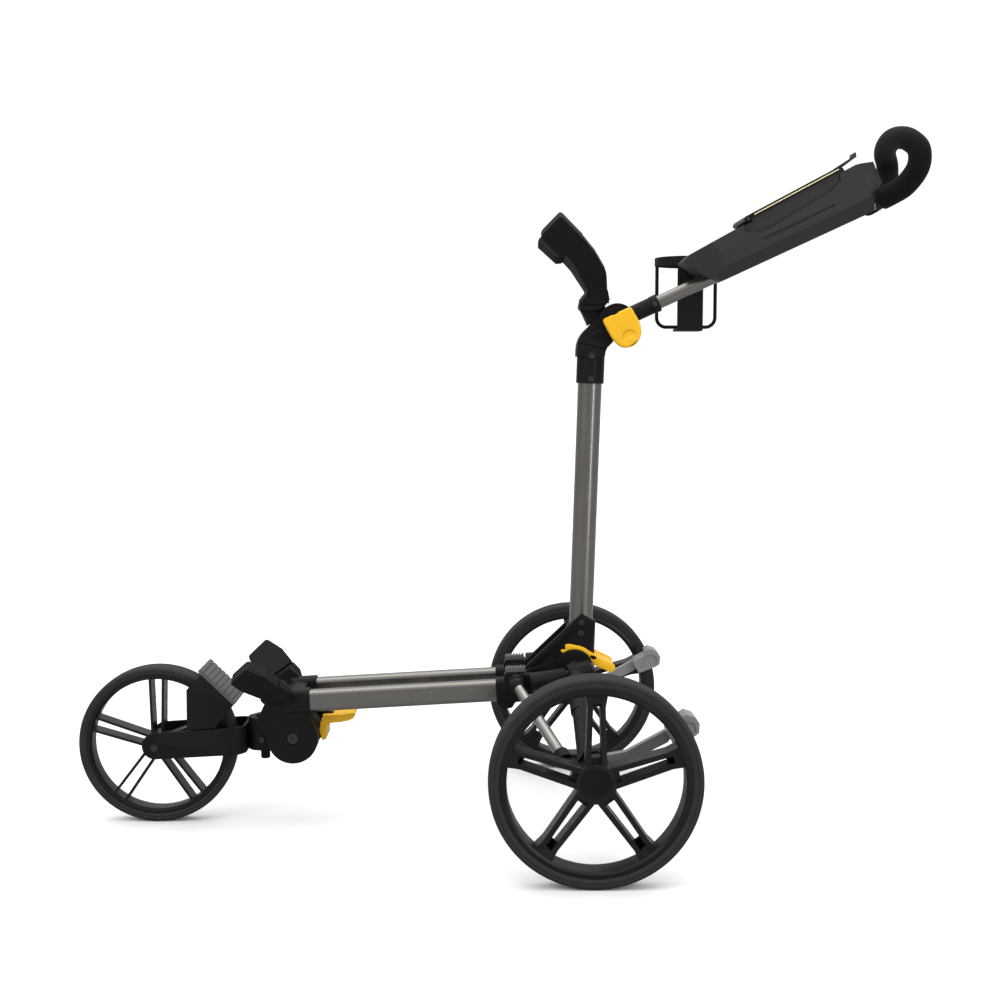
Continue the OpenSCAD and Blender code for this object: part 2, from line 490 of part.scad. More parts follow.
// ---------- rear legs ----------
module leg_one() {
    difference() {
        union() {
            rod(K - ku * 14, K + ku * 20.5, 13.5);
            rod([13, 70, 241], [13, 250, 158], 12.5, 8.2);
            rod([15, 92, 230.6], [14.4, 150, 203.8], 12.9, 11.4);
            ybar(0, rear_r, 25, 241, 262);
            ybar(0, rear_r, 14, 262, 267.5);
            // strut socket
            rod(S - su * 13, S + su * 4, 11.5);
            rod([36, 246, 158], [10, 252, 150], 9, 9);
            // brake pedal peg
            ybar(-14, 158, 3.95, 222, 242);
            // brake shoe housing behind the wheel
            xz(244, 258) polygon([[-20, 158], [-6, 178], [14, 176], [24, 160], [20, 130], [-20, 130]]);
        }
        rod(K - ku * 20, K + ku * 25, 6.03);
        rod(S - su * 30, S, 8.05);
        ybar(0, rear_r, 8.0, 236, 272);
    }
}
module rear_leg_left() { color([0.12, 0.12, 0.12]) leg_one(); ax(); }
module rear_leg_right() { color([0.12, 0.12, 0.12]) mirror([0, 1, 0]) leg_one(); mirror([0, 1, 0]) ax(); }
module ax() { color([0.55, 0.55, 0.55]) ybar(0, rear_r, 7.98, 240, 300); }
module strut_one() {
    difference() {
        union() { translate(B) sphere(12); rod(B + su * 8, B + su * 22, 7.5); rod(B + su * 20, S - su * 0.2, 8); }
        rod(S - su * 40, S + su * 4, 4);
    }
}
module strut_left() { color([0.52, 0.51, 0.49]) strut_one(); }
module strut_right() { color([0.52, 0.51, 0.49]) mirror([0, 1, 0]) strut_one(); }

module rear_at(s) { translate([0, s * track / 2, rear_r]) scale([1, s, 1]) children(); }
module rtyre() {
    w = rear_w / 2; r = rear_r;
    rotate([90, 0, 0]) rotate_extrude($fn = 96)
        polygon([[130.1, -w + 2], [133, -w], [r - 7, -w], [r - 3.5, -w + 2.2], [r - 1.2, -w + 6], [r, -w + 13], [r, w - 13], [r - 1.2, w - 6], [r - 3.5, w - 2.2], [r - 7, w], [133, w], [130.1, w - 2]]);
}
module rrim() {
    difference() {
        union() {
            rotate([90, 0, 0]) rotate_extrude($fn = 96) polygon([[130, -17], [130, 17], [126, 18.4], [122, 18.4], [120.5, 16], [119.5, 0], [120.5, -16], [124, -18]]);
            ybar(0, 0, 26, -20, 15.4);
            ybar(0, 0, 27.4, 4, 15.4);
            for (i = [0 : 4]) rotate([0, -90 - i * 72, 0]) {
                for (s = [-1, 1]) xz(-14, 15) polygon([[18, s * 7.4], [104, s * 4.8], [123, s * 8], [123, s * 15.2], [104, s * 12], [18, s * 14.6]]);
                xz(-13.4, -10.2) polygon([[100, -9.4], [122.6, -12], [122.6, 12], [100, 9.4]]);
                xz(-13.4, 6) polygon([[17, -12], [34, -11], [34, 11], [17, 12]]);
                xz(8.2, 14.4) polygon([[109, -9], [122.8, -12], [122.8, 12], [109, 9]]);
            }
        }
        ybar(0, 0, 14, 4.9, 30); ybar(0, 0, 14, -30, -11.9); ybar(0, 0, 9, -30, 30);
        ybar(0, 0, 20.4, 12.5, 30);
    }
}
module rcap() {
    difference() { union() { ybar(0, 0, 20, 12.7, 17.4); ybar(0, 0, 13.6, 11.5, 12.9); } }
    difference() { ybar(0, 0, 20, 17.3, 18.2); ybar(0, 0, 18.2, 17, 20); }
}
module rbear() {
    difference() { ybar(0, 0, 13.95, 5, 11.3); ybar(0, 0, 8.05, 0, 16); }
    difference() { ybar(0, 0, 13.95, -19.9, -12); ybar(0, 0, 8.05, -30, 0); }
}
module mleft() { translate([0, track / 2, rear_r]) children(); }
module mright() { mirror([0, 1, 0]) translate([0, track / 2, rear_r]) children(); }
module rear_tyre_left() { color([0.25, 0.24, 0.23]) mleft() rtyre(); }
module rear_tyre_right() { color([0.25, 0.24, 0.23]) mright() rtyre(); }
module rear_rim_left() { color([0.13, 0.13, 0.13]) mleft() rrim(); }
module rear_rim_right() { color([0.13, 0.13, 0.13]) mright() rrim(); }
module hub_cap_left() { color([0.10, 0.10, 0.10]) mleft() rcap(); }
module hub_cap_right() { color([0.10, 0.10, 0.10]) mright() rcap(); }
module rear_bearings_left() { color([0.6, 0.6, 0.6]) mleft() rbear(); }
module rear_bearings_right() { color([0.6, 0.6, 0.6]) mright() rbear(); }

module pedal_one() {
    difference() {
        union() {
            ybar(-14, 158, 9.5, 224, 239.5);
            xz(226, 238) polygon([[-14, 149.5], [-7, 164], [-30, 168], [-46, 171], [-104, 203], [-109, 192], [-103, 184], [-53, 158], [-30, 150.5]]);
            xz(209, 245) polygon([[-101, 199], [-103, 205], [-121, 214], [-120, 220], [-127, 225], [-139, 221], [-146, 212], [-145.5, 199], [-140, 194.5], [-110, 183]]);
        }
        ybar(-14, 158, 4.0, 215, 245);
        for (i = [0 : 5]) translate([-103.5 - i * 3, 200, 206.2 + i * 1.6]) rotate([0, 27, 0]) translate([-0.6, 0, -1.6]) cube([1.2, 60, 6]);
        both_pedal_faces();
    }
}
// shallow side recesses of the pedal pad
module both_pedal_faces() {
    for (y = [205, 243.4]) xz(y, y + 5.6) polygon([[-112, 190], [-116, 207], [-124, 214], [-137, 213], [-141, 206], [-140, 199]]);
}
module brake_pedal_left() { color([0.52, 0.52, 0.51]) pedal_one(); }
module brake_pedal_right() { color([0.52, 0.52, 0.51]) mirror([0, 1, 0]) pedal_one(); }

frame_tube_left();
frame_tube_right();
front_housing_left();
front_housing_right();
front_bridge();
lower_cradle_pads();
front_pivot_bolt();
rear_bracket_left();
rear_bracket_right();
rear_cross_tube();
main_pivot_pin();
frame_buffers();
leg_hinge_pins();
front_latch();
fork_stem();
fork_strap();
fork_screws();
bag_base();
bag_base_pad();
front_axle();
tracking_knob();
front_tyre();
front_rim();
front_bearings();
upright_foot();
upright_tube();
knee_casting();
upper_cradle();
upper_cradle_pads();
upright_screws();
rear_latch();
handle_knuckle();
handle_tube();
handle_screws();
console_shell();
console_lid_pin();
grip_tube();
grip_foam();
cam_bolt();
holder_bracket();
cam_lever();
console_lid();
console_flap();
holder_ring();
holder_frame();
holder_spine();
rear_leg_left();
rear_leg_right();
strut_left();
strut_right();
rear_tyre_left();
rear_tyre_right();
rear_rim_left();
rear_rim_right();
hub_cap_left();
hub_cap_right();
rear_bearings_left();
rear_bearings_right();
brake_pedal_left();
brake_pedal_right();
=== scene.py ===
import json
import math
import bmesh
import bpy
from mathutils import Matrix, Vector, noise

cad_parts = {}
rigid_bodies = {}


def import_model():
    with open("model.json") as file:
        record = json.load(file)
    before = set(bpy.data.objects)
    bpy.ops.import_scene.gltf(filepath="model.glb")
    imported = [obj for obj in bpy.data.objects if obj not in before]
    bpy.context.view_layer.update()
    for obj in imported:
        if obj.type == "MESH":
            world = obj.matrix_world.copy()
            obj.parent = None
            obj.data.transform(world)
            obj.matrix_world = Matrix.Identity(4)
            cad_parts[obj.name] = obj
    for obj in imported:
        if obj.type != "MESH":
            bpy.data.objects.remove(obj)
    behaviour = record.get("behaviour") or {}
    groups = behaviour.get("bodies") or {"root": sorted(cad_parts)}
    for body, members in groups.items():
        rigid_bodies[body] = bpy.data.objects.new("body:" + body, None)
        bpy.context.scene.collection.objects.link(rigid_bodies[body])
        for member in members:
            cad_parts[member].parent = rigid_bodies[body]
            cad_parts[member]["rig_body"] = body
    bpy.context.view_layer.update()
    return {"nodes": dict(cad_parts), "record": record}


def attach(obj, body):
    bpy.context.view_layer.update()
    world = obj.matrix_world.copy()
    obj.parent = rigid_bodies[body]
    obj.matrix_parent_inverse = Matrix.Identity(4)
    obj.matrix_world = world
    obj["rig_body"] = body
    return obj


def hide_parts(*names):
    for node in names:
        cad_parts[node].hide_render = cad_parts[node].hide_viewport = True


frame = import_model()
NODES = frame["nodes"]
BODY = {}
for o in NODES.values():
    BODY[o.name] = o["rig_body"]
SLOT = {}
for sp in frame["record"]["subparts"]:
    SLOT[sp["node"]] = sp["material_slot"]

# ------------------------------------------------------------------ materials


def node_mat(name):
    m = bpy.data.materials.new(name)
    m.use_nodes = True
    nt = m.node_tree
    nt.nodes.clear()
    out = nt.nodes.new("ShaderNodeOutputMaterial")
    bs = nt.nodes.new("ShaderNodeBsdfPrincipled")
    nt.links.new(bs.outputs["BSDF"], out.inputs["Surface"])
    co = nt.nodes.new("ShaderNodeTexCoord")
    return m, nt, bs, co.outputs["Object"]


def mapr(nt, src, a, b, c, d):
    n = nt.nodes.new("ShaderNodeMapRange")
    n.inputs["From Min"].default_value = a
    n.inputs["From Max"].default_value = b
    n.inputs["To Min"].default_value = c
    n.inputs["To Max"].default_value = d
    nt.links.new(src, n.inputs["Value"])
    return n.outputs["Result"]


def tex(nt, co, scale, detail=3.0, rough=0.55, stretch=None):
    n = nt.nodes.new("ShaderNodeTexNoise")
    n.inputs["Scale"].default_value = scale
    n.inputs["Detail"].default_value = detail
    n.inputs["Roughness"].default_value = rough
    if stretch:
        mp = nt.nodes.new("ShaderNodeMapping")
        mp.inputs["Scale"].default_value = stretch
        nt.links.new(co, mp.inputs["Vector"])
        nt.links.new(mp.outputs["Vector"], n.inputs["Vector"])
    else:
        nt.links.new(co, n.inputs["Vector"])
    return n.outputs["Fac"]


def mixc(nt, fac, a, b):
    n = nt.nodes.new("ShaderNodeMix")
    n.data_type = "RGBA"
    if isinstance(fac, float):
        n.inputs[0].default_value = fac
    else:
        nt.links.new(fac, n.inputs[0])
    for sock, v in ((n.inputs[6], a), (n.inputs[7], b)):
        if isinstance(v, tuple):
            sock.default_value = (v[0], v[1], v[2], 1)
        else:
            nt.links.new(v, sock)
    return n.outputs[2]


def bumps(nt, bs, layers, edge=0.0006):
    """Stack bump layers over a softly rounded edge normal."""
    nrm = None
    if edge:
        bv = nt.nodes.new("ShaderNodeBevel")
        bv.samples = 4
        bv.inputs["Radius"].default_value = edge
        nrm = bv.outputs["Normal"]
    for src, strength, dist in layers:
        b = nt.nodes.new("ShaderNodeBump")
        b.inputs["Strength"].default_value = strength
        b.inputs["Distance"].default_value = dist
        nt.links.new(src, b.inputs["Height"])
        if nrm is not None:
            nt.links.new(nrm, b.inputs["Normal"])
        nrm = b.outputs["Normal"]
    if nrm is not None:
        nt.links.new(nrm, bs.inputs["Normal"])


def plastic(name, col, rough=0.5, grain=1500.0, gstr=0.25, wear=0.25, spec=0.5, coat=0.0, edge=0.0007):
    m, nt, bs, co = node_mat(name)
    big = tex(nt, co, 14.0, 2.0)
    fine = tex(nt, co, grain, 2.0, 0.6)
    dust = tex(nt, co, 90.0, 4.0, 0.7)
    geo = nt.nodes.new("ShaderNodeNewGeometry")
    point = mapr(nt, geo.outputs["Pointiness"], 0.51, 0.58, 0.0, wear)
    lo = tuple(c * 0.86 for c in col)
    hi = tuple(min(1, c * 1.14 + 0.0015) for c in col)
    base = mixc(nt, big, lo, hi)
    worn = mixc(nt, point, base, tuple(min(1, c * 1.5 + 0.03) for c in col))
    nt.links.new(worn, bs.inputs["Base Color"])
    nt.links.new(mapr(nt, dust, 0.3, 0.7, rough - 0.06, rough + 0.08), bs.inputs["Roughness"])
    bs.inputs["Specular IOR Level"].default_value = spec
    if coat:
        bs.inputs["Coat Weight"].default_value = coat
        bs.inputs["Coat Roughness"].default_value = 0.18
    bumps(nt, bs, [(fine, gstr, 0.00012), (big, 0.06, 0.002)], edge)
    return m


def metal(name, col, rough=0.32, metallic=0.9, stretch=(60, 900, 60), coat=0.0, edge=0.0006, bump=0.05):
    m, nt, bs, co = node_mat(name)
    brush = tex(nt, co, 1.0, 3.0, 0.6, stretch)
    flake = tex(nt, co, 2600.0, 1.0)
    smudge = tex(nt, co, 22.0, 4.0, 0.65)
    base = mixc(nt, flake, tuple(c * 0.82 for c in col), tuple(min(1, c * 1.2) for c in col))
    nt.links.new(base, bs.inputs["Base Color"])
    bs.inputs["Metallic"].default_value = metallic
    nt.links.new(mapr(nt, smudge, 0.3, 0.7, rough - 0.05, rough + 0.07), bs.inputs["Roughness"])
    if coat:
        bs.inputs["Coat Weight"].default_value = coat
        bs.inputs["Coat Roughness"].default_value = 0.12
    bumps(nt, bs, [(brush, bump, 0.0002), (flake, 0.03, 0.0001)], edge)
    return m


def rubber(name, col, rough=0.72, grain=900.0, gstr=0.35, streak=False):
    m, nt, bs, co = node_mat(name)
    fine = tex(nt, co, grain, 3.0, 0.65)
    scuff = tex(nt, co, 45.0, 5.0, 0.7)
    base = mixc(nt, mapr(nt, scuff, 0.35, 0.7, 0.0, 1.0), tuple(c * 0.9 for c in col), tuple(c * 1.12 + 0.0008 for c in col))
    nt.links.new(base, bs.inputs["Base Color"])
    nt.links.new(mapr(nt, scuff, 0.3, 0.7, rough - 0.08, rough + 0.1), bs.inputs["Roughness"])
    bs.inputs["Specular IOR Level"].default_value = 0.15
    bumps(nt, bs, [(fine, gstr, 0.00015), (scuff, 0.06, 0.0003)], 0.0008)
    return m


def foam(name, col):
    m, nt, bs, co = node_mat(name)
    v = nt.nodes.new("ShaderNodeTexVoronoi")
    v.inputs["Scale"].default_value = 950.0
    nt.links.new(co, v.inputs["Vector"])
    soft = tex(nt, co, 60.0, 4.0, 0.6)
    base = mixc(nt, soft, tuple(c * 0.7 for c in col), tuple(c * 1.5 for c in col))
    nt.links.new(base, bs.inputs["Base Color"])
    bs.inputs["Roughness"].default_value = 0.82
    bs.inputs["Specular IOR Level"].default_value = 0.1
    bs.inputs["Sheen Weight"].default_value = 0.04
    bs.inputs["Sheen Roughness"].default_value = 0.5
    bumps(nt, bs, [(v.outputs["Distance"], 0.4, 0.00025), (soft, 0.2, 0.0015)], 0)
    return m


MATS = {
    "tube_metal": metal("gunmetal_lacquer", (0.19, 0.18, 0.168), 0.24, 0.92, (700, 700, 30), coat=0.1, bump=0.015),
    "bare_aluminium": metal("satin_aluminium", (0.27, 0.262, 0.245), 0.28, 0.95, (500, 500, 500), bump=0.02),
    "black_plastic": plastic("black_moulding", (0.0048, 0.0048, 0.005), 0.5, 1400, 0.22, wear=0.12, spec=0.13),
    "console_plastic": plastic("console_moulding", (0.027, 0.027, 0.0275), 0.55, 1200, 0.3, wear=0.08, spec=0.2),
    "lid_plastic": plastic("lid_moulding", (0.0035, 0.0035, 0.0038), 0.34, 700, 0.04, wear=0.1, spec=0.15),
    "yellow_plastic": plastic("yellow_moulding", (0.97, 0.50, 0.010), 0.36, 1200, 0.08, wear=0.0, coat=0.1, spec=0.35),
    "pedal_plastic": plastic("pedal_moulding", (0.22, 0.22, 0.218), 0.5, 900, 0.3, wear=0.1, spec=0.3),
    "pad_rubber": rubber("pad_rubber", (0.105, 0.105, 0.106), 0.66, 700, 0.4),
    "cradle_rubber": rubber("cradle_rubber", (0.0065, 0.0065, 0.0067), 0.6, 700, 0.3),
    "tyre": rubber("tyre_rubber", (0.027, 0.0265, 0.0258), 0.6, 800, 0.25),
    "foam": foam("foam_skin", (0.0042, 0.0042, 0.0044)),
    "steel": metal("plated_steel", (0.45, 0.45, 0.46), 0.3, 1.0, (800, 40, 800)),
    "black_steel": metal("blackened_steel", (0.045, 0.045, 0.046), 0.38, 0.8, (800, 40, 800)),
}
SLOT["front_axle"] = "black_steel"
if SLOT["lower_cradle_pads"] == "pad_rubber":
    for n in ("lower_cradle_pads", "upper_cradle_pads"):
        SLOT[n] = "cradle_rubber"
rim_mat = plastic("rim_moulding", (0.0055, 0.0055, 0.0057), 0.34, 1500, 0.12, wear=0.15, spec=0.22)

# ------------------------------------------------------------------ mesh helpers


def new_obj(name, me, node=None, body=None, slot=None, mat=None):
    ob = bpy.data.objects.new(name, me)
    bpy.context.scene.collection.objects.link(ob)
    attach(ob, body or BODY[node])
    s = slot or SLOT[node]
    me.materials.clear()
    me.materials.append(mat or MATS[s])
    return ob


def from_bm(name, bm, smooth=35.0):
    me = bpy.data.meshes.new(name)
    bmesh.ops.recalc_face_normals(bm, faces=bm.faces)
    for f in bm.faces:
        f.smooth = True
    bm.to_mesh(me)
    bm.free()
    me.set_sharp_from_angle(angle=math.radians(smooth))
    return me


def polish(node, width=0.8, segs=2, angle=28.0, mat=None):
    """A finished copy of a CAD node: welded, with its hard edges rounded."""
    src = NODES[node]
    bm = bmesh.new()
    bm.from_mesh(src.data)
    bmesh.ops.remove_doubles(bm, verts=bm.verts, dist=2e-6)
    bmesh.ops.dissolve_degenerate(bm, edges=bm.edges, dist=2e-6)
    bmesh.ops.dissolve_limit(bm, angle_limit=math.radians(0.6), verts=bm.verts, edges=bm.edges, use_dissolve_boundaries=False)
    me = from_bm(node + "_finish", bm, 30.0)
    ob = new_obj(node + "_finish", me, node=node, mat=mat)
    if width:
        mod = ob.modifiers.new("edge", "BEVEL")
        mod.width = width / 1000
        mod.segments = segs
        mod.limit_method = "ANGLE"
        mod.angle_limit = math.radians(angle)
        mod.use_clamp_overlap = True
        mod.harden_normals = False
        mod.miter_outer = "MITER_ARC"
    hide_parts(node)
    return ob


# handle frame: x towards the grip, z to the console's top side, y to the left
HA = math.radians(24.7)


def HL(x, y, z):
    return Vector(((-48 - x * math.cos(HA) + z * math.sin(HA)) / 1000, y / 1000, (768 + x * math.sin(HA) + z * math.cos(HA)) / 1000))


def catmull(pts, n):
    out = []
    P = [2 * pts[0] - pts[1]] + pts + [2 * pts[-1] - pts[-2]]
    for i in range(1, len(P) - 2):
        a, b, c, e = P[i - 1], P[i], P[i + 1], P[i + 2]
        for k in range(n):
            t = k / n
            out.append(0.5 * ((2 * b) + (c - a) * t + (2 * a - 5 * b + 4 * c - e) * t * t + (3 * b - a - 3 * c + e) * t * t * t))
    out.append(P[-2])
    return out


def tube(name, path, radius, m=32, caps=True):
    """Sweep a circle along a path; radius(i, t) gives the radius in metres at each ring."""
    bm = bmesh.new()
    rings = []
    n = len(path)
    up = None
    for i, p in enumerate(path):
        t = (path[min(i + 1, n - 1)] - path[max(i - 1, 0)]).normalized()
        if up is None:
            up = t.orthogonal().normalized()
        up = (up - t * up.dot(t)).normalized()
        side = t.cross(up)
        r = radius(i / (n - 1))
        rings.append([bm.verts.new(p + r * (math.cos(2 * math.pi * k / m) * up + math.sin(2 * math.pi * k / m) * side)) for k in range(m)])
    for a, b in zip(rings, rings[1:]):
        for k in range(m):
            bm.faces.new((a[k], a[(k + 1) % m], b[(k + 1) % m], b[k]))
    if caps:
        bm.faces.new(rings[0])
        bm.faces.new(rings[-1][::-1])
    return bm


def revolve(profile, centre, n=144):
    """Turn a closed (radius, y) outline, in mm, about an axis along Y through centre."""
    bm = bmesh.new()
    rows = []
    for k in range(n):
        a = 2 * math.pi * k / n
        rows.append([bm.verts.new((centre[0] + r / 1000 * math.cos(a), centre[1] + y / 1000, centre[2] + r / 1000 * math.sin(a))) for r, y in profile])
    for k in range(n):
        a, b = rows[k], rows[(k + 1) % n]
        for i in range(len(profile)):
            j = (i + 1) % len(profile)
            bm.faces.new((a[i], a[j], b[j], b[i]))
    return bm


def arc(cx, cy, r, a0, a1, n):
    return [(cx + r * math.cos(math.radians(a0 + (a1 - a0) * i / n)), cy + r * math.sin(math.radians(a0 + (a1 - a0) * i / n))) for i in range(n + 1)]


def tyre_profile(inner, R, w):
    """Crowned tread with three shallow grooves and a stepped side wall."""
    h = w / 2
    pts = [(inner, -h + 1.8), (inner + 2.4, -h), (R - 9.0, -h), (R - 8.4, -h + 0.7), (R - 7.4, -h + 0.7), (R - 6.9, -h + 0.1)]
    pts += arc(R - 5.4, -h + 5.2, 5.2, -100, -22, 6)
    for g in (-0.42, 0.0, 0.42):
        y = g * w * 0.62
        e = R - 0.9 * abs(y / h) ** 2
        pts += [(e, y - 1.1), (e - 1.0, y - 0.7), (e - 1.0, y + 0.7), (e, y + 1.1)]
    pts += arc(R - 5.4, h - 5.2, 5.2, 22, 100, 6)
    pts += [(R - 6.9, h - 0.1), (R - 7.4, h - 0.7), (R - 8.4, h - 0.7), (R - 9.0, h), (inner + 2.4, h), (inner, h - 1.8)]
    return pts


# foam grip
GH = 80.0
gp = [(424.5, 39.4, 1), (438, 52, 1.5), (457, GH - 12, 5), (479, GH, 20), (490, GH + 1, 42), (489, GH - 14, 60), (488, 38, 70), (487.5, 0, 74)]
gp = gp + [(a, -b, c) for a, b, c in gp[-2::-1]]
gpath = catmull([HL(*p) for p in gp], 14)
bm = tube("grip", gpath, lambda t: 0.0104 + 0.0061 * min(1.0, (min(t, 1 - t) / 0.008) ** 0.5 if min(t, 1 - t) < 0.008 else 1.0), 36)
foam_ob = new_obj("grip_foam_skin", from_bm("grip_foam_skin", bm, 60), node="grip_foam")
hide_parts("grip_foam")

# tyres
for node, c, inner, R, w in (("front_tyre", (0.655, 0, 0.1214), 109.1, 121.4, 34), ("rear_tyre_left", (0, 0.290, 0.145), 130.1, 145, 38), ("rear_tyre_right", (0, -0.290, 0.145), 130.1, 145, 38)):
    bm = revolve(tyre_profile(inner, R, w), c, 160)
    ob = new_obj(node + "_tread", from_bm(node + "_tread", bm, 40), node=node)
    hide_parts(node)



def ring_inset(pts, d, cx=3.0, cz=-13.0):
    """Move a star-shaped outline towards its middle by d."""
    out = []
    for x, z in pts:
        l = math.hypot(x - cx, z - cz)
        out.append((cx + (x - cx) * (1 - d / l), cz + (z - cz) * (1 - d / l)))
    return out


def lever_shell(outline, y0, y1, r, cx, cz, R, depth, to_world):
    """Moulded tab: rolled front edge, flat face, round thumb recess that fades out towards the bottom."""
    bm = bmesh.new()
    rows = [[(x, z, y0) for x, z in ring_inset(outline, 0.8)], [(x, z, y0 + 0.8) for x, z in outline]]
    for k in range(7):
        a = math.pi / 2 * k / 6
        rows.append([(x, z, y1 - r + r * math.sin(a)) for x, z in ring_inset(outline, r * (1 - math.cos(a)))])
    base = ring_inset(outline, r)

    def circ(rad, sink):
        row = []
        for x, z in base:
            l = math.hypot(x - cx, z - cz)
            u, v = (x - cx) / l, (z - cz) / l
            fade = min(1.0, max(0.0, (v + 0.75) / 1.1))
            row.append((cx + u * rad, cz + v * rad, y1 - sink * fade))
        return row

    c0 = circ(R + 0.5, 0.0)
    for k in range(1, 8):
        f = k / 8
        rows.append([(a[0] + (b[0] - a[0]) * f, a[1] + (b[1] - a[1]) * f, y1) for a, b in zip(base, c0)])
    rows += [c0, circ(R, depth * 0.12), circ(R - 0.5, depth * 0.5), circ(R - 0.9, depth * 0.88), circ(R - 1.5, depth)]
    for k in range(1, 6):
        rows.append(circ((R - 1.5) * (1 - k / 6), depth * (1 - 0.25 * k / 6)))
    vr = [[bm.verts.new(to_world(x, y, z)) for x, z, y in row] for row in rows]
    n = len(outline)
    for a, b in zip(vr, vr[1:]):
        for k in range(n):
            bm.faces.new((a[k], a[(k + 1) % n], b[(k + 1) % n], b[k]))
    bm.faces.new(vr[0][::-1])
    c = bm.verts.new(to_world(cx, y1 - depth * 0.6, cz))
    for k in range(n):
        bm.faces.new((vr[-1][k], vr[-1][(k + 1) % n], c))
    return bm


def closed_curve(pts, n=10):
    out = []
    m = len(pts)
    P = [Vector((p[0], p[1], 0)) for p in pts]
    for i in range(m):
        a, b, c, e = P[i - 1], P[i], P[(i + 1) % m], P[(i + 2) % m]
        for k in range(n):
            t = k / n
            q = 0.5 * ((2 * b) + (c - a) * t + (2 * a - 5 * b + 4 * c - e) * t * t + (3 * b - a - 3 * c + e) * t * t * t)
            out.append((q.x, q.y))
    return out


lever = closed_curve([(-20.6, -2), (-21, 6), (-20.3, 9.8), (-17.8, 11.8), (-13, 12), (-6, 12), (2, 12), (10, 12), (17, 12), (22, 11.6), (24.8, 9.6), (25.8, 5), (26.4, -2), (27.2, -9), (27, -17), (24.6, -26), (19.4, -33), (12, -38), (4, -40), (-4, -39), (-11.2, -35), (-16, -28), (-18.8, -19), (-20, -10)][::-1])
lever = [(x + 0.6, z * 1.065 if z < -5 else z) for x, z in lever]
lv = lever_shell(lever, 30.2, 45.0, 2.8, 5, -29, 11.4, 2.0, HL)


def carve(me, boxes, bars):
    """Cut boxes (x, y, z ranges in mm in the handle frame) and round bars out of a mesh with exact booleans."""
    base = bpy.data.objects.new("carve_base", me)
    bpy.context.scene.collection.objects.link(base)
    tools = []
    for (x0, x1), (y0, y1), (z0, z1) in boxes:
        tb = bmesh.new()
        vs = [tb.verts.new(HL(x, y, z)) for x in (x0, x1) for y in (y0, y1) for z in (z0, z1)]
        for f in ((0, 1, 3, 2), (4, 6, 7, 5), (0, 4, 5, 1), (2, 3, 7, 6), (0, 2, 6, 4), (1, 5, 7, 3)):
            tb.faces.new([vs[i] for i in f])
        bmesh.ops.recalc_face_normals(tb, faces=tb.faces)
        tools.append(tb)
    for (x0, x1), y, z, r in bars:
        tb = tube("bar", [HL(x0, y, z), HL((x0 + x1) / 2, y, z), HL(x1, y, z)], lambda t: r / 1000, 24)
        bmesh.ops.recalc_face_normals(tb, faces=tb.faces)
        tools.append(tb)
    obs = []
    for k, tb in enumerate(tools):
        tm = bpy.data.meshes.new("carve_tool")
        tb.to_mesh(tm)
        tb.free()
        to = bpy.data.objects.new("carve_tool", tm)
        bpy.context.scene.collection.objects.link(to)
        obs.append(to)
        m = base.modifiers.new("cut", "BOOLEAN")
        m.operation = "DIFFERENCE"
        m.solver = "EXACT"
        m.object = to
    bpy.context.view_layer.update()
    out = bpy.data.meshes.new_from_object(base.evaluated_get(bpy.context.evaluated_depsgraph_get()))
    for o in obs + [base]:
        bpy.data.objects.remove(o)
    out.set_sharp_from_angle(angle=math.radians(40))
    return out


lever_me = carve(from_bm("cam_lever_blank", lv, 50), [((-4.3, 5.1), (20, 44.3), (-3.8, 30)), ((-60, 60), (20, 33.5), (2.6, 30))], [((-30, 40), 40, 4, 2.55)])
lever_me.name = "cam_lever_shell"
ob = new_obj("cam_lever_shell", lever_me, node="cam_lever")
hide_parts("cam_lever")

# dark moulded ball ends of the struts, seated in the bracket cups: a ball with a faint parting band
for side, node in ((1, "strut_left"), (-1, "strut_right")):
    prof = []
    for k in range(41):
        a = math.radians(-90 + 180 * k / 40)
        r = 12.02 + (0.014 if abs(a) < 0.06 else 0.0)
        prof.append((max(r * math.cos(a), 0.05), r * math.sin(a)))
    bm = revolve(prof, (0.102, side * 0.082, 0.228), 64)
    new_obj(node + "_ball", from_bm(node + "_ball", bm, 60), node=node, slot="black_plastic")

# thin pale metallic strip along the lower edge of the lid, both sides
strip_mat = metal("trim_strip", (0.80, 0.66, 0.40), 0.3, 0.6, (700, 700, 30))
for side in (1, -1):
    path = [HL(244 + k * 12.6, side * 50.9, 58.0 + k * 12.6 * 0.0585) for k in range(12)]
    bm = tube("lid_strip", path, lambda t: 0.0009, 12)
    new_obj("lid_strip_" + ("left" if side > 0 else "right"), from_bm("lid_strip", bm, 60), node="console_lid", mat=strip_mat)



def strap(bm, outline, y0, y1, r=0.8):
    """A plate with softly rolled edges from an X-Z outline in mm, between y0 and y1."""
    mid = len(outline)
    cx = sum(p[0] for p in outline) / mid
    cz = sum(p[1] for p in outline) / mid

    def inset(d):
        out = []
        for i in range(mid):
            a, b = outline[i - 1], outline[(i + 1) % mid]
            tx, tz = b[0] - a[0], b[1] - a[1]
            l = math.hypot(tx, tz) or 1
            out.append((outline[i][0] - tz / l * d, outline[i][1] + tx / l * d))
        return out

    rows = [[(x, y0, z) for x, z in inset(r)], [(x, y0 + r * 0.3, z) for x, z in inset(r * 0.3)], [(x, y0 + r, z) for x, z in outline],
            [(x, y1 - r, z) for x, z in outline], [(x, y1 - r * 0.3, z) for x, z in inset(r * 0.3)], [(x, y1, z) for x, z in inset(r)]]
    vr = [[bm.verts.new((x / 1000, y / 1000, z / 1000)) for x, y, z in row] for row in rows]
    for a, b in zip(vr, vr[1:]):
        for k in range(mid):
            bm.faces.new((a[k], a[(k + 1) % mid], b[(k + 1) % mid], b[k]))
    bm.faces.new(vr[0][::-1])
    bm.faces.new(vr[-1])


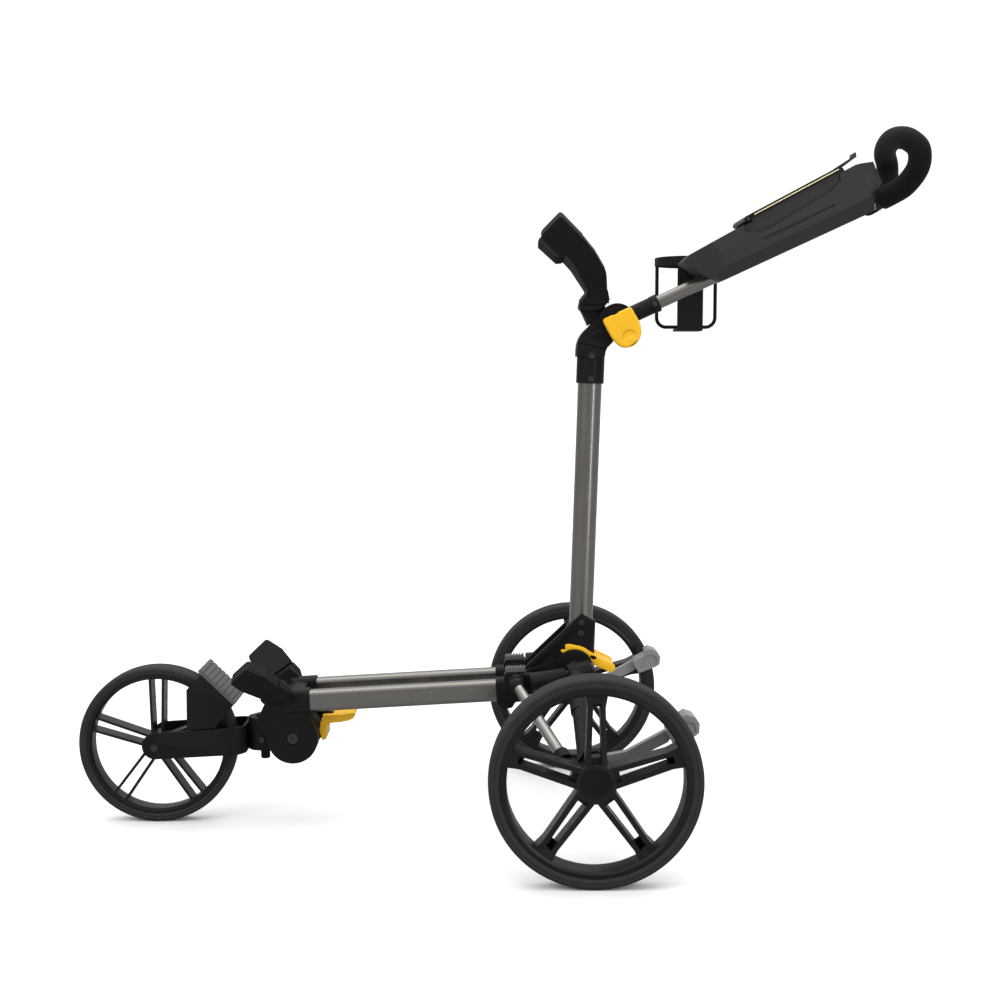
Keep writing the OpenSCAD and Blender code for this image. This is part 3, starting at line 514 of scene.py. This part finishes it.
def ccw(pts):
    a = sum(p[0] * q[1] - q[0] * p[1] for p, q in zip(pts, pts[1:] + pts[:1]))
    return pts if a > 0 else pts[::-1]


side = ccw(closed_curve([(34.4, 269), (33, 272), (29, 271.5), (27.5, 273.4), (28.2, 277.6), (25.5, 280), (20, 280), (12, 278.4), (4, 276.6), (-3, 273.6), (-10, 268.8), (-18, 263.6), (-20.5, 260), (-19, 256.2), (-14, 256.4), (-9, 259.6), (-3.4, 264.4), (3, 268), (10, 269.2), (17, 268), (24, 265.2), (28.4, 264.8), (31, 266.6)], 6))
paddle = ccw(closed_curve([(-9, 262.4), (-14, 262), (-28, 255.6), (-40, 250), (-46, 246.4), (-47.4, 243.4), (-45.4, 238.8), (-42.6, 237.2), (-40.4, 238.6), (-40.6, 242.4), (-38, 246.4), (-28, 251.4), (-18, 256), (-11, 258.4), (-7.6, 260.2)], 6))
rim = ccw(closed_curve([(-9.6, 262.4), (-14, 263.8), (-28, 257.8), (-41, 251.6), (-47, 248), (-48.6, 243), (-46, 238), (-42, 236.4), (-38.6, 238), (-28, 242.6), (-18, 247), (-12.4, 250.4), (-9.6, 256)], 6))
bm = bmesh.new()
for y0 in (25.8, -29.2):
    strap(bm, side, y0, y0 + 3.4)
    strap(bm, rim, y0, y0 + 3.4)
strap(bm, paddle, -26.6, 26.6)
pin = tube("pin", [Vector((-0.007, -0.0285, 0.266)), Vector((-0.007, 0, 0.266)), Vector((-0.007, 0.0285, 0.266))], lambda t: 0.003, 24)
me_pin = bpy.data.meshes.new("pin_tmp")
pin.to_mesh(me_pin)
pin.free()
bm.from_mesh(me_pin)
bpy.data.meshes.remove(me_pin)
ob = new_obj("rear_latch_shell", from_bm("rear_latch_shell", bm, 40), node="rear_latch")
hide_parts("rear_latch")

done = {"rear_latch", "cam_lever", "grip_foam", "front_tyre", "rear_tyre_left", "rear_tyre_right"}
WIDTH = {"front_rim": 0.9, "rear_rim_left": 1.0, "rear_rim_right": 1.0, "console_shell": 1.6, "cam_lever": 1.5,
         "front_latch": 0.9, "rear_latch": 0.8, "upper_cradle": 1.8, "upper_cradle_pads": 0.9, "lower_cradle_pads": 0.9,
         "front_housing_left": 1.4, "front_housing_right": 1.4, "rear_bracket_left": 1.4, "rear_bracket_right": 1.4,
         "bag_base": 1.0, "fork_strap": 0.9, "fork_stem": 1.5, "upright_foot": 0.7, "knee_casting": 1.5,
         "handle_knuckle": 1.2, "brake_pedal_left": 1.0, "brake_pedal_right": 1.0, "holder_spine": 0.7, "bag_base_pad": 0.6}
for n in sorted(NODES):
    if n in done:
        continue
    polish(n, WIDTH.get(n, 0.5), mat=rim_mat if "rim" in n else None)

# ------------------------------------------------------------------ stage


def plane(name, size, z, col, rough):
    me = bpy.data.meshes.new(name)
    s = size
    me.from_pydata([(-s, -s, z), (s, -s, z), (s, s, z), (-s, s, z)], [], [(0, 1, 2, 3)])
    ob = bpy.data.objects.new(name, me)
    bpy.context.scene.collection.objects.link(ob)
    m, nt, bs, co = node_mat(name + "_mat")
    bs.inputs["Base Color"].default_value = (*col, 1)
    bs.inputs["Roughness"].default_value = rough
    me.materials.append(m)
    return ob


floor = plane("floor", 30.0, -0.0005, (0.90, 0.90, 0.90), 0.6)
fn = floor.data.materials[0].node_tree
fb = [n for n in fn.nodes if n.type == "BSDF_PRINCIPLED"][0]
fp = fn.nodes.new("ShaderNodeLightPath")
fn.links.new(mixc(fn, fp.outputs["Is Camera Ray"], (0.34, 0.34, 0.34), (0.90, 0.90, 0.90)), fb.inputs["Base Color"])
fb.inputs["Specular IOR Level"].default_value = 0.1
world = bpy.data.worlds.new("studio")
bpy.context.scene.world = world
world.use_nodes = True
wn = world.node_tree
back = wn.nodes["Background"]
back.inputs["Color"].default_value = (1.0, 1.0, 1.0, 1)
path_info = wn.nodes.new("ShaderNodeLightPath")
wco = wn.nodes.new("ShaderNodeTexCoord")
wsep = wn.nodes.new("ShaderNodeSeparateXYZ")
wn.links.new(wco.outputs["Generated"], wsep.inputs["Vector"])
sky = mapr(wn, wsep.outputs["Z"], 0.0, 0.9, 0.42, 1.25)
wmix = wn.nodes.new("ShaderNodeMix")
wmix.data_type = "FLOAT"
wn.links.new(path_info.outputs["Is Camera Ray"], wmix.inputs[0])
wn.links.new(sky, wmix.inputs[2])
wmix.inputs[3].default_value = 1.05
wn.links.new(wmix.outputs[0], back.inputs["Strength"])


def sun(name, direction, power, spread):
    li = bpy.data.lights.new(name, "SUN")
    li.energy = power
    li.angle = math.radians(spread)
    ob = bpy.data.objects.new(name, li)
    bpy.context.scene.collection.objects.link(ob)
    ob.rotation_euler = Vector(direction).to_track_quat("-Z", "Y").to_euler()


def area(name, loc, target, size, power, col=(1, 1, 1)):
    li = bpy.data.lights.new(name, "AREA")
    li.shape = "RECTANGLE"
    li.size, li.size_y = size
    li.energy = power
    li.color = col
    ob = bpy.data.objects.new(name, li)
    bpy.context.scene.collection.objects.link(ob)
    ob.location = loc
    ob.rotation_euler = (Vector(target) - Vector(loc)).to_track_quat("-Z", "Y").to_euler()
    return ob


sun("overhead", (0.05, 0.12, -1), 1.5, 70)
area("left", (2.0, 1.5, 1.9), (0.2, 0, 0.5), (1.0, 1.6), 22)
area("right", (-1.5, 1.9, 1.0), (-0.1, 0, 0.6), (0.35, 1.8), 14)
bpy.context.scene.view_settings.view_transform = "Standard"

cam_data = bpy.data.cameras.new("camera")
cam_data.lens = 50
cam_data.sensor_width = 36
cam = bpy.data.objects.new("camera", cam_data)
bpy.context.scene.collection.objects.link(cam)
cam.location = (0.1376, 2.1138, 0.6931)
yaw, pitch = -0.005, 0.092
d = Vector((math.sin(yaw) * math.cos(pitch), -math.cos(yaw) * math.cos(pitch), -math.sin(pitch)))
cam.rotation_euler = d.to_track_quat("-Z", "Y").to_euler()
bpy.context.scene.camera = cam
